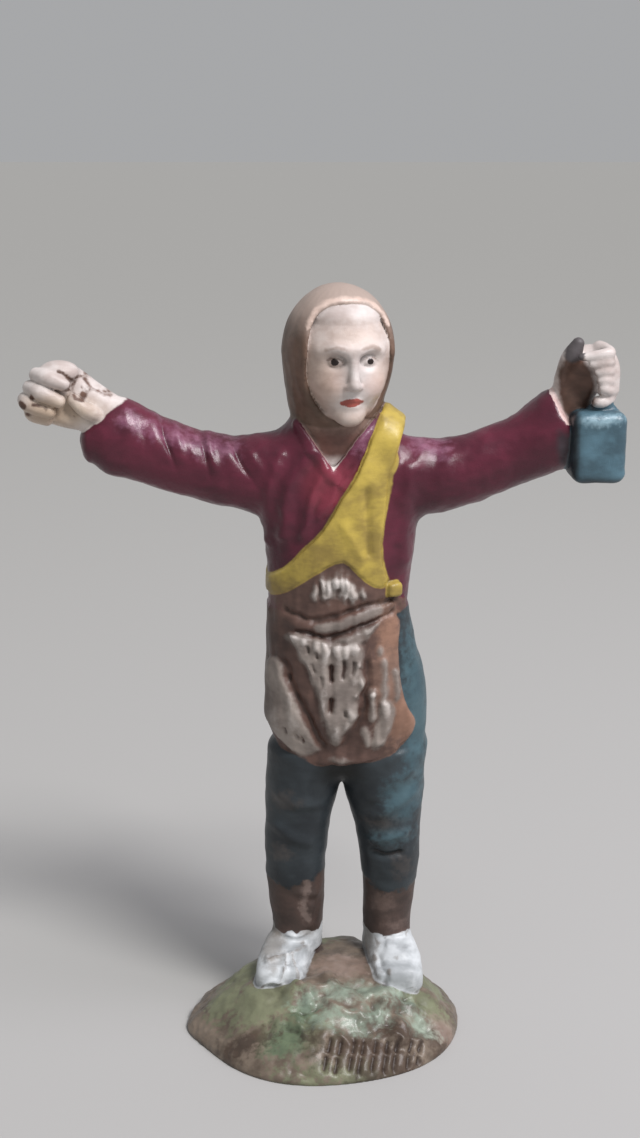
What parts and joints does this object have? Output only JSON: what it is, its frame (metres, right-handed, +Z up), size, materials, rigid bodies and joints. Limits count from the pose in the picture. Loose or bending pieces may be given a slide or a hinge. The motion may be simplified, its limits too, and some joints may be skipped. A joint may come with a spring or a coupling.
{
  "type": "nativity figurine",
  "caption": "Painted terracotta shepherd figurine with outstretched arms, a closed fist and a hanging lantern, in smock, sash and fleece apron, on a rough earth mound.",
  "frame": {"origin": "on the table, at the middle of the overall box's underside", "axes": "+Z up along the figure, which faces -Y; +X is towards the hand with the lantern"},
  "size_m": [0.0676, 0.029, 0.09],
  "materials": {
    "painted_terracotta": "fired clay under hand-painted colour, glossy on the smock, sash and lantern, dull and chipped elsewhere"
  },
  "bodies": {
    "root": {"nativity_figure": "painted_terracotta"}
  },
  "joints": []
}
